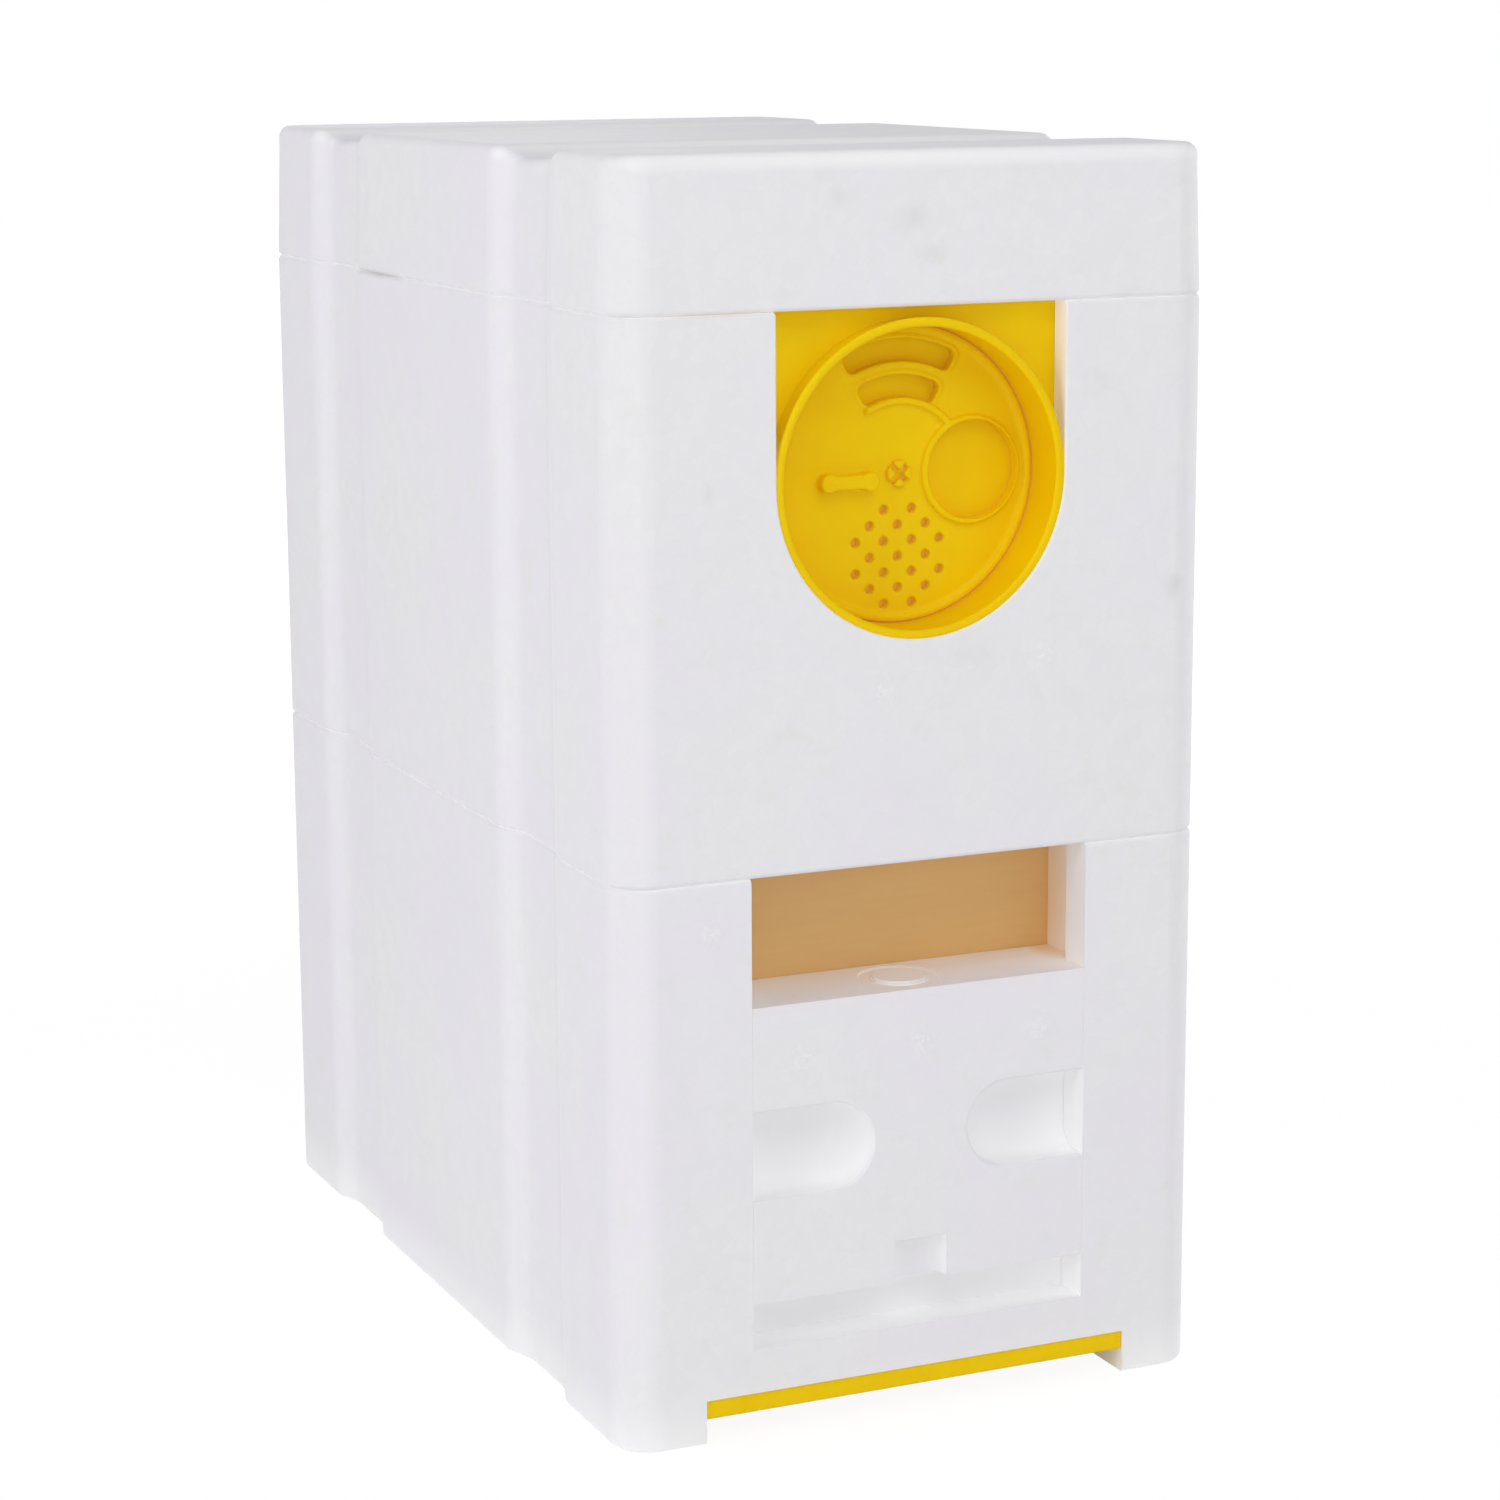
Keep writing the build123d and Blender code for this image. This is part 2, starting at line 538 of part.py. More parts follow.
# The ridge under the arcs runs from their left end into the lip of the hole
ridge_radius = outer_slot - SLOT_STEP - (SLOT_WIDTH + RELIEF_WIDTH) / 2
ridge_end = 90 + SLOT_SPREAD / 2
ridge_reach = (ridge_radius**2 + hole_place**2 - hole_radius**2) / (2 * hole_place)
ridge_start = degrees(acos(ridge_reach / ridge_radius))
with BuildPart() as entrance_disc:
    with BuildSketch(disc_back):
        Circle(disc_radius)
    extrude(amount=DISC_THICKNESS)
    # Raised lips round the edge and the arcs
    with BuildSketch(disc_face):
        Circle(disc_radius)
        Circle(disc_radius - DISC_LIP_WIDTH, mode=Mode.SUBTRACT)
    extrude(amount=DISC_LIP_HEIGHT)
    edge_lip = entrance_disc.faces().sort_by(Axis.Y)[0]
    fillet(edge_lip.edges(), RELIEF_ROUND)
    for radius in slot_radii:
        with BuildSketch(disc_face) as slot_lip:
            lip_reach = SLOT_WIDTH / 2 + SLOT_LIP_WIDTH
            lip_spread = SLOT_SPREAD + degrees(2 * SLOT_LIP_WIDTH / radius)
            arc_band(radius - lip_reach, radius + lip_reach, 90, lip_spread)
            fillet(slot_lip.vertices(), SLOT_ROUND + SLOT_LIP_WIDTH)
        extrude(amount=SLOT_LIP_HEIGHT)
    # Lip of the hole, and the ridge that runs into it
    with BuildSketch(disc_face):
        with Locations((hole_place - HOLE_LIP_SHIFT, 0)):
            Circle(hole_radius + HOLE_LIP_WIDTH)
        ridge_half = RELIEF_WIDTH / 2
        ridge_middle = (ridge_start + ridge_end) / 2
        arc_band(ridge_radius - ridge_half, ridge_radius + ridge_half, ridge_middle, ridge_end - ridge_start)
        with PolarLocations(ridge_radius, 1, start_angle=ridge_end):
            Circle(ridge_half)
    extrude(amount=RELIEF_HEIGHT)
    relief_top = entrance_disc.faces().sort_by(Axis.Y)[0]
    fillet(relief_top.edges(), RELIEF_ROUND)
    # Openings
    with BuildSketch(disc_back):
        with Locations((hole_place, 0)):
            Circle(hole_radius)
        Circle(PIN_DIAMETER / 2 + PIN_RUNNING_FIT)
        for row, count in enumerate(AIR_ROWS):
            with Locations((0, -air_place + air_height / 2 - row * AIR_ROW_STEP)):
                with GridLocations(AIR_STEP, AIR_STEP, count, 1):
                    Circle(AIR_HOLE / 2)
    extrude(amount=DISC_THICKNESS + RELIEF_HEIGHT, mode=Mode.SUBTRACT)
    for radius in slot_radii:
        with BuildSketch(disc_back) as arc_slot:
            arc_band(radius - SLOT_WIDTH / 2, radius + SLOT_WIDTH / 2, 90, SLOT_SPREAD)
            fillet(arc_slot.vertices(), SLOT_ROUND)
        extrude(amount=DISC_THICKNESS + SLOT_LIP_HEIGHT, mode=Mode.SUBTRACT)
    # Finger bar, thicker at both ends
    with BuildSketch(disc_face):
        with Locations((-(BAR_START + BAR_END) / 2, -BAR_DROP)):
            Rectangle(BAR_END - BAR_START - BAR_KNOB, BAR_WIDTH)
        with Locations((-BAR_START - BAR_KNOB / 2, -BAR_DROP), (-BAR_END + BAR_KNOB / 2, -BAR_DROP)):
            Circle(BAR_KNOB / 2)
    extrude(amount=BAR_HEIGHT)
    bar_top = entrance_disc.faces().sort_by(Axis.Y)[0]
    fillet(bar_top.edges(), RELIEF_ROUND)
finish(entrance_disc.part, "entrance_disc")

# Pivot pin: a head behind the well's floor and a split bead that snaps over the disc
pin_seat = front_plane(well_floor_setback + WELL_FLOOR, disc_centre)
pin_neck = WELL_FLOOR + DISC_GAP + DISC_THICKNESS + DISC_GAP
with BuildPart() as pivot_pin:
    with BuildSketch(pin_seat):
        Circle(PIN_DIAMETER / 2)
    extrude(amount=pin_neck + PIN_BEAD_HEIGHT)
    with BuildSketch(pin_seat.offset(pin_neck)):
        Circle(PIN_DIAMETER / 2 + PIN_BEAD)
    extrude(amount=PIN_BEAD_HEIGHT)
    bead_face = pivot_pin.faces().sort_by(Axis.Y)[0]
    fillet(bead_face.edges(), PIN_BEAD_HEIGHT / 2)
    with BuildSketch(pin_seat):
        Circle(PIN_HEAD_DIAMETER / 2)
    extrude(amount=-PIN_HEAD_HEIGHT)
    head_face = pivot_pin.faces().sort_by(Axis.Y)[-1]
    fillet(head_face.edges(), PIN_HEAD_HEIGHT / 2)
    with BuildSketch(pin_seat.offset(pin_neck + PIN_BEAD_HEIGHT)):
        for turn in (45, 135):
            Rectangle(PIN_HEAD_DIAMETER, PIN_SLIT, rotation=turn)
    extrude(amount=-PIN_SLIT_DEPTH, mode=Mode.SUBTRACT)
finish(pivot_pin.part, "pivot_pin")

# Frames hang across both storeys, from the rear wall forward, each with its foundation
frame_width = 2 * (inner_half - SIDE_SPACE)
side_bar_place = (frame_width - SIDE_BAR) / 2
foundation_width = frame_width - 2 * SIDE_BAR + 2 * FOUNDATION_SEAT
foundation_level = -TOP_BAR_HEIGHT + FOUNDATION_SEAT
storeys = {
    "lower": (inner_rear - feed_rear, floor_top + FLOOR_SPACE, lower_frame_top),
    "upper": (inner_length, lower_frame_top + BEE_SPACE, upper_frame_top),
}
for storey, (room, bottom, top) in storeys.items():
    frame_height = top - bottom
    foundation_height = frame_height - TOP_BAR_HEIGHT - BOTTOM_BAR_HEIGHT + 2 * FOUNDATION_SEAT
    with BuildPart() as frame:
        with BuildSketch(Plane.XZ):
            Rectangle(2 * (ledge_half - LUG_END_GAP), TOP_BAR_HEIGHT, align=(Align.CENTER, Align.MAX))
            with Locations((-side_bar_place, 0), (side_bar_place, 0)):
                Rectangle(SIDE_BAR, frame_height, align=(Align.CENTER, Align.MAX))
        extrude(amount=TOP_BAR_WIDTH / 2, both=True)
        # Shoulders that space the frames
        with BuildSketch(Plane.XZ):
            with Locations((-side_bar_place, 0), (side_bar_place, 0)):
                Rectangle(SIDE_BAR, SHOULDER_HEIGHT, align=(Align.CENTER, Align.MAX))
        extrude(amount=(FRAME_PITCH - FRAME_GAP) / 2, both=True)
        with BuildSketch(Plane.XZ):
            with Locations((0, -frame_height)):
                Rectangle(frame_width - SIDE_BAR, BOTTOM_BAR_HEIGHT, align=(Align.CENTER, Align.MIN))
        extrude(amount=BOTTOM_BAR_WIDTH / 2, both=True)
        # Groove that seats the foundation all round
        with BuildSketch(Plane.XZ):
            with Locations((0, foundation_level + FOUNDATION_FIT)):
                Rectangle(
                    foundation_width + 2 * FOUNDATION_FIT,
                    foundation_height + 2 * FOUNDATION_FIT,
                    align=(Align.CENTER, Align.MAX),
                )
        extrude(amount=FOUNDATION / 2 + FOUNDATION_FIT, both=True, mode=Mode.SUBTRACT)
    with BuildPart() as foundation:
        with BuildSketch(Plane.XZ):
            with Locations((0, foundation_level)):
                Rectangle(foundation_width, foundation_height, align=(Align.CENTER, Align.MAX))
        extrude(amount=FOUNDATION / 2, both=True)
    for number in range(1, int(room // FRAME_PITCH) + 1):
        place = Location((0, inner_rear - (number - 0.5) * FRAME_PITCH, top))
        finish(frame.part.moved(place), f"{storey}_frame_{number}")
        finish(foundation.part.moved(place), f"{storey}_foundation_{number}")

# Clear inner cover on the upper frames
with BuildPart() as inner_cover:
    with BuildSketch(Plane.XY.offset(upper_frame_top)):
        with Locations((0, inner_middle)):
            RectangleRounded(
                2 * (ledge_half - COVER_EDGE_GAP), inner_length - 2 * COVER_EDGE_GAP, INNER_RADIUS
            )
    extrude(amount=COVER_THICKNESS)
finish(inner_cover.part, "inner_cover")
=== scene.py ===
# %% [markdown]
# # A foam mating hive on two storeys
#
# A mating hive is a very small bee hive in which a young queen lives until she lays. This one is
# moulded in white bead foam: two storeys, a lid, a yellow rotary entrance above and a foam gate under a
# window below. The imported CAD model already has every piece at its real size, so it is loaded as a
# fixed frame. This lesson adds a camera, light, finishes and the small forms that mould, wax and use
# leave on the pieces.

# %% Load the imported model
import math

import bmesh
import bpy
from mathutils import Matrix, Vector


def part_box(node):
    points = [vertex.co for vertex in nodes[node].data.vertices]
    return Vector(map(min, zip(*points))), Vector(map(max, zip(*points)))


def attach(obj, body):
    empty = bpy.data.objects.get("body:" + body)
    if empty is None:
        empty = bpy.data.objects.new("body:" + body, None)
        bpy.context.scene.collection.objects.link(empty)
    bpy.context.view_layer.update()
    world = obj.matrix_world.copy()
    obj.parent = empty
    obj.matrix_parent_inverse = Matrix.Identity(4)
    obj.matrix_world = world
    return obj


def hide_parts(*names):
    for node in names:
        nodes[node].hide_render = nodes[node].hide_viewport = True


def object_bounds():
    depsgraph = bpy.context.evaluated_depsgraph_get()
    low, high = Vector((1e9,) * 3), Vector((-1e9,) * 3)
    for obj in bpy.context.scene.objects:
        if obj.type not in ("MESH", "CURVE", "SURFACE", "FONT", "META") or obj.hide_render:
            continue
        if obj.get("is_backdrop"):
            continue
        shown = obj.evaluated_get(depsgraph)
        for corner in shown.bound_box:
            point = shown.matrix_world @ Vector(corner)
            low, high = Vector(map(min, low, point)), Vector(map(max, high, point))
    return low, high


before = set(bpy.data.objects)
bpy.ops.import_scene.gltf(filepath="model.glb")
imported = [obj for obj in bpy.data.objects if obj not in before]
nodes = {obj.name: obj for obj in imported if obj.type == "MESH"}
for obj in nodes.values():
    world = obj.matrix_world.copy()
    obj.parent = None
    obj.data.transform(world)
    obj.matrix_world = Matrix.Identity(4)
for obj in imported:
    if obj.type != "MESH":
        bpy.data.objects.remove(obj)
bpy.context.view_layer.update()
# lengths below are in millimetres, but in metres for the floor, the lamps, merging and cutting
MM = 0.001
MERGE = 1e-6

# %% [markdown]
# ## Camera
#
# A camera can be placed by eye, or worked out from points whose real places are known. Here the corners
# of the foam were lined up with the photograph, which gave the focal length in pixels, the place and
# three turns. The turns are applied in the order a tripod has them: round the column, up or down, and a
# small roll at the end.

# %% Place the camera
PHOTO_WIDTH = 1500
FOCAL_PIXELS = 3691.4
CAMERA_PLACE = Vector((-361.3, -831.2, 313.5)) * MM
CAMERA_TURN = math.radians(-24.2)
CAMERA_RISE = math.radians(11.362)
CAMERA_ROLL = math.radians(-0.318)

camera = bpy.data.objects.new("camera", bpy.data.cameras.new("camera"))
camera.data.sensor_fit = "HORIZONTAL"
camera.data.lens = camera.data.sensor_width * FOCAL_PIXELS / PHOTO_WIDTH
column = Matrix.Rotation(CAMERA_TURN, 4, "Z")
tilt = Matrix.Rotation(math.pi / 2 - CAMERA_RISE, 4, "X")
roll = Matrix.Rotation(CAMERA_ROLL, 4, "Z")
camera.matrix_world = Matrix.Translation(CAMERA_PLACE) @ column @ tilt @ roll
bpy.context.scene.collection.objects.link(camera)
bpy.context.scene.camera = camera
bpy.context.scene.view_settings.view_transform = "Standard"
print("lens", round(camera.data.lens, 1), "mm")

# %% [markdown]
# ## Helpers for shader nodes
#
# Every finish below is a small graph of nodes on Object coordinates, which are metres in the frame of
# the part, so a pattern keeps its real size on every piece. These helpers keep each graph short: one
# starts a material, one adds a texture, and the others shape what the texture says into colour,
# roughness or bump.

# %% Shader helpers
def srgb(red, green, blue):
    """A colour as a picture shows it, 0 to 255, in the linear values that shaders use."""
    colour = []
    for channel in (red, green, blue):
        share = channel / 255
        colour.append(share / 12.92 if share <= 0.04045 else ((share + 0.055) / 1.055) ** 2.4)
    return colour + [1]


def start_finish(name):
    """A new material, its node tree, its shader and its Object coordinates."""
    finish = bpy.data.materials.new(name)
    finish.use_nodes = True
    tree = finish.node_tree
    coords = tree.nodes.new("ShaderNodeTexCoord").outputs["Object"]
    return finish, tree, tree.nodes["Principled BSDF"], coords


def plug(tree, value, socket):
    """Links a socket, or sets a plain value."""
    if isinstance(value, bpy.types.NodeSocket):
        tree.links.new(value, socket)
    else:
        socket.default_value = value


def texture(tree, kind, coords, scale, **settings):
    """Adds a texture node, such as Noise or Voronoi, and sets its sockets by name."""
    node = tree.nodes.new("ShaderNodeTex" + kind)
    tree.links.new(coords, node.inputs["Vector"])
    node.inputs["Scale"].default_value = scale
    for name, value in settings.items():
        node.inputs[name].default_value = value
    return node


def math_node(tree, operation, first, second=0.0, third=0.0):
    """One sum on two or three values."""
    node = tree.nodes.new("ShaderNodeMath")
    node.operation = operation
    for socket, value in zip(node.inputs, (first, second, third)):
        plug(tree, value, socket)
    return node.outputs[0]


def stretch(tree, value, low, high, to_low=0.0, to_high=1.0):
    """Stretches a value from one range to another, smoothly, and holds it at the ends."""
    node = tree.nodes.new("ShaderNodeMapRange")
    node.interpolation_type = "SMOOTHSTEP"
    for socket, setting in zip(node.inputs, (value, low, high, to_low, to_high)):
        plug(tree, setting, socket)
    return node.outputs[0]


def blend_colours(tree, factor, first, second):
    """Mixes two colours by a factor."""
    node = tree.nodes.new("ShaderNodeMix")
    node.data_type = "RGBA"
    plug(tree, factor, node.inputs[0])
    plug(tree, first, node.inputs[6])
    plug(tree, second, node.inputs[7])
    return node.outputs[2]


def raise_bump(tree, shader, height, depth, strength):
    """Turns a height into bump. The depth says how deep a height of 1 is, in millimetres."""
    node = tree.nodes.new("ShaderNodeBump")
    node.inputs["Strength"].default_value = strength
    node.inputs["Distance"].default_value = depth * MM
    tree.links.new(height, node.inputs["Height"])
    tree.links.new(node.outputs["Normal"], shader.inputs["Normal"])
    return node


def soft_spot(tree, coords, centre, reach):
    """1 at a place on the part, fading to 0 over a reach given along X, Y and Z, in millimetres."""
    shift = tree.nodes.new("ShaderNodeVectorMath")
    shift.operation = "SUBTRACT"
    tree.links.new(coords, shift.inputs[0])
    shift.inputs[1].default_value = Vector(centre) * MM
    shrink = tree.nodes.new("ShaderNodeVectorMath")
    shrink.operation = "DIVIDE"
    tree.links.new(shift.outputs[0], shrink.inputs[0])
    shrink.inputs[1].default_value = Vector(reach) * MM
    length = tree.nodes.new("ShaderNodeVectorMath")
    length.operation = "LENGTH"
    tree.links.new(shrink.outputs[0], length.inputs[0])
    return stretch(tree, length.outputs["Value"], 1.0, 0.0)


def dress(finish, *names):
    """Gives CAD nodes a finish."""
    for name in names:
        nodes[name].data.materials.clear()
        nodes[name].data.materials.append(finish)
    print(finish.name, "on", len(names), "nodes")

# %% [markdown]
# ## Floor and background
#
# The photograph has a pure white ground. More light on the object would burn out the foam, so the white
# comes from Light Path instead: the world is plain white to the camera and to gloss, and a dimmer white
# as a light. The floor works in the same way, but keeps part of its own shading, so that the object
# still has a shadow. Far from the object, where the lamps no longer reach, it glows a little more, so
# that no horizon shows.

# %% Make floor and world
FLOOR_HALF = 4.0
AMBIENT = 0.28
PAPER_TONE = srgb(250, 250, 250)
PAPER_ROUGHNESS = 0.9
FLOOR_WHITE = 0.9
FLOOR_GLOW = 1.03
FAR_GLOW = 1.13
GLOW_FROM = 0.3
GLOW_TO = 0.9

def seen_directly(tree):
    """1 for rays from the camera, from gloss and from glass."""
    path = tree.nodes.new("ShaderNodeLightPath").outputs
    direct = math_node(tree, "MAXIMUM", path["Is Camera Ray"], path["Is Glossy Ray"])
    return math_node(tree, "MAXIMUM", direct, path["Is Transmission Ray"])


sheet = bmesh.new()
bmesh.ops.create_grid(sheet, x_segments=1, y_segments=1, size=FLOOR_HALF)
floor_mesh = bpy.data.meshes.new("floor")
sheet.to_mesh(floor_mesh)
sheet.free()
floor = bpy.data.objects.new("floor", floor_mesh)
bpy.context.scene.collection.objects.link(floor)
floor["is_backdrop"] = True

paper, paper_tree, paper_shader, paper_coords = start_finish("white_paper")
paper_shader.inputs["Base Color"].default_value = PAPER_TONE
paper_shader.inputs["Roughness"].default_value = PAPER_ROUGHNESS
glow = paper_tree.nodes.new("ShaderNodeEmission")
away = paper_tree.nodes.new("ShaderNodeVectorMath")
away.operation = "LENGTH"
paper_tree.links.new(paper_coords, away.inputs[0])
far_glow = stretch(paper_tree, away.outputs["Value"], GLOW_FROM, GLOW_TO, FLOOR_GLOW, FAR_GLOW)
paper_tree.links.new(far_glow, glow.inputs["Strength"])
paper_mix = paper_tree.nodes.new("ShaderNodeMixShader")
paper_share = math_node(paper_tree, "MULTIPLY", seen_directly(paper_tree), FLOOR_WHITE)
paper_tree.links.new(paper_share, paper_mix.inputs[0])
paper_tree.links.new(paper_shader.outputs[0], paper_mix.inputs[1])
paper_tree.links.new(glow.outputs[0], paper_mix.inputs[2])
paper_tree.links.new(paper_mix.outputs[0], paper_tree.nodes["Material Output"].inputs["Surface"])
floor_mesh.materials.append(paper)

world = bpy.data.worlds.new("studio")
bpy.context.scene.world = world
world.use_nodes = True
sky_tree = world.node_tree
sky = sky_tree.nodes["Background"]
sky.inputs["Color"].default_value = (1, 1, 1, 1)
sky_strength = stretch(sky_tree, seen_directly(sky_tree), 0.0, 1.0, AMBIENT, 1.0)
plug(sky_tree, sky_strength, sky.inputs["Strength"])
print("floor and world are white")

# %% [markdown]
# ## Studio light
#
# In the photograph both visible sides of the box are almost the same grey, the corner between them is
# lighter, and even the pockets hold hardly any shadow. That is the look of several large softboxes.
# Three light the front, from the right, from high up and from beside the camera. One stands to the
# left, one hangs high on that side for the top of the lid, and two low ones light the far sides without
# a glare on the lid.

# %% Hang the softboxes
AIM = Vector((0, 0, 140)) * MM
LAMP_REACH = 1.6
WHITE_LIGHT = (1.0, 1.0, 1.0)
COOL_LIGHT = (0.99, 0.978, 1.0)

def softbox(name, bearing, rise, size, power, colour):
    """A square area light that points at the middle of the box, from a bearing and a rise in degrees."""
    light = bpy.data.lights.new(name, "AREA")
    light.shape = "SQUARE"
    light.size = size
    light.energy = power
    light.color = colour
    lamp = bpy.data.objects.new(name, light)
    lamp.visible_camera = False
    turn = Matrix.Rotation(math.radians(bearing), 4, "Z") @ Matrix.Rotation(math.radians(90 - rise), 4, "X")
    lamp.matrix_world = Matrix.Translation(AIM) @ turn @ Matrix.Translation((0, 0, LAMP_REACH))
    bpy.context.scene.collection.objects.link(lamp)
    print(name, "at", [round(value, 2) for value in lamp.matrix_world.translation])


# name, bearing and rise in degrees, size in metres, power in watts, colour
SOFTBOXES = [
    ("right_front", 30, 30, 1.0, 2.8, WHITE_LIGHT),
    ("high_front", -10, 50, 1.0, 5.2, WHITE_LIGHT),
    ("near_camera", -14, 8, 0.8, 2.9, WHITE_LIGHT),
    ("left", -75, 13, 0.8, 7.8, COOL_LIGHT),
    ("right", 96, 6, 0.6, 8.0, COOL_LIGHT),
    ("back", 168, 6, 0.6, 7.5, WHITE_LIGHT),
    ("high_left", -115, 60, 0.8, 2.2, WHITE_LIGHT),
]
for row in SOFTBOXES:
    softbox(*row)

# %% [markdown]
# ## Bead foam
#
# Expanded foam is thousands of small beads pressed into each other. From near, every bead is a cell a
# few millimetres wide with a slightly different white, and a fine seam runs round it. A Voronoi texture
# in three dimensions gives those cells on every face, as if the block were cut from them. Noise adds
# the cloudy tone and the faint specks of a used box. Sheltered foam gets painted light: ambient
# occlusion finds the pockets and the joints between the pieces, and there the finish mixes in a paler
# white, so that they come out as light as the outer faces. Foam lets light through, so a joint or a
# deep pocket in it is never quite dark, and a weak glow stands for that light.

# %% Make the foam finish
BEAD_SIZE = 3.6
SHELTER_REACH = 22.0
FOAM_LIGHT = srgb(240, 240, 241)
FOAM_DARK = srgb(238, 238, 240)
FOAM_COOL = srgb(239, 237, 244)
FOAM_PALE_AND_PAINTED_LIGHT = srgb(252, 252, 253)
FOAM_SEAM = srgb(226, 226, 232)
FOAM_SPECK = srgb(233, 234, 229)
VENT_RELIEF = 40.0
VENT_PALENESS = 0.45
VENT_REACH = (4.5, 2, 4.5)
FOAM_SEEP = 0.09
SEEP_LIMIT = 0.46
CLOUDS_PER_METRE = 14.0
SPECKS_PER_METRE = 110.0
BLOTCHES_PER_METRE = 160.0
CURLS_PER_METRE = 700.0
GRAINS_PER_METRE = 1800.0
GRAIN_SHARE = 0.25
SPECK_STRENGTH = 0.5
SEAM_STRENGTH = 0.1
FOAM_BUMP_DEPTH = 0.04
FOAM_BUMP_STRENGTH = 0.2
FOAM_ROUGHNESS = 0.7
FOAM_GLOSS = 0.25

def foam_finish(name, marks, vents):
    """White bead foam: seams between the beads, painted light in sheltered places, marks of use, painted
    shade and light, rough vent spots.
    """
    finish, tree, shader, coords = start_finish(name)
    per_metre = 1 / (BEAD_SIZE * MM)
    cells = texture(tree, "Voronoi", coords, per_metre)
    seams = texture(tree, "Voronoi", coords, per_metre)
    seams.feature = "DISTANCE_TO_EDGE"
    clouds = texture(tree, "Noise", coords, CLOUDS_PER_METRE, Detail=5.0, Roughness=0.62)
    grain = texture(tree, "Noise", coords, GRAINS_PER_METRE, Detail=2.0)
    blotch = texture(tree, "Noise", coords, BLOTCHES_PER_METRE, Detail=2.0, Roughness=0.5)
    specks = texture(tree, "Noise", coords, SPECKS_PER_METRE, Detail=6.0, Roughness=0.75)
    colour = blend_colours(tree, stretch(tree, cells.outputs["Color"], 0.1, 0.9), FOAM_LIGHT, FOAM_DARK)
    colour = blend_colours(tree, stretch(tree, clouds.outputs["Fac"], 0.3, 0.7), colour, FOAM_COOL)
    dirt = stretch(tree, specks.outputs["Fac"], 0.52, 0.74, 0.0, SPECK_STRENGTH)
    colour = blend_colours(tree, dirt, colour, FOAM_SPECK)
    seam = stretch(tree, seams.outputs["Distance"], 0.06, 0.0, 0.0, SEAM_STRENGTH)
    colour = blend_colours(tree, seam, colour, FOAM_SEAM)
    # painted light: where ambient occlusion finds shelter, in pockets and joints, a paler white lifts the
    # shade
    shelter = tree.nodes.new("ShaderNodeAmbientOcclusion")
    shelter.inputs["Distance"].default_value = SHELTER_REACH * MM
    openness = stretch(tree, shelter.outputs["AO"], 0.4, 0.92)
    colour = blend_colours(tree, openness, FOAM_PALE_AND_PAINTED_LIGHT, colour)
    patches = stretch(tree, blotch.outputs["Fac"], 0.3, 0.7)
    for place, reach, mark, strength, patchy in marks:
        share = math_node(tree, "MULTIPLY", soft_spot(tree, coords, place, reach), strength)
        if patchy:
            share = math_node(tree, "MULTIPLY", share, patches)
        colour = blend_colours(tree, share, colour, mark)
    dome = stretch(tree, seams.outputs["Distance"], 0.0, 0.22)
    height = math_node(tree, "MULTIPLY_ADD", grain.outputs["Fac"], GRAIN_SHARE, dome)
    curls = texture(tree, "Noise", coords, CURLS_PER_METRE, Detail=1.0, Distortion=1.5)
    ridges = stretch(tree, curls.outputs["Fac"], 0.4, 0.6)
    for place in vents:
        rough = math_node(tree, "MULTIPLY", soft_spot(tree, coords, place, VENT_REACH), ridges)
        height = math_node(tree, "MULTIPLY_ADD", rough, VENT_RELIEF, height)
        pale = math_node(tree, "MULTIPLY", rough, VENT_PALENESS)
        colour = blend_colours(tree, pale, colour, FOAM_PALE_AND_PAINTED_LIGHT)
    plug(tree, colour, shader.inputs["Base Color"])
    plug(tree, colour, shader.inputs["Emission Color"])
    seeping = stretch(tree, shelter.outputs["AO"], 0.0, SEEP_LIMIT, FOAM_SEEP, 0.0)
    plug(tree, seeping, shader.inputs["Emission Strength"])
    raise_bump(tree, shader, height, FOAM_BUMP_DEPTH, FOAM_BUMP_STRENGTH)
    shader.inputs["Roughness"].default_value = FOAM_ROUGHNESS
    shader.inputs["Specular IOR Level"].default_value = FOAM_GLOSS
    return finish
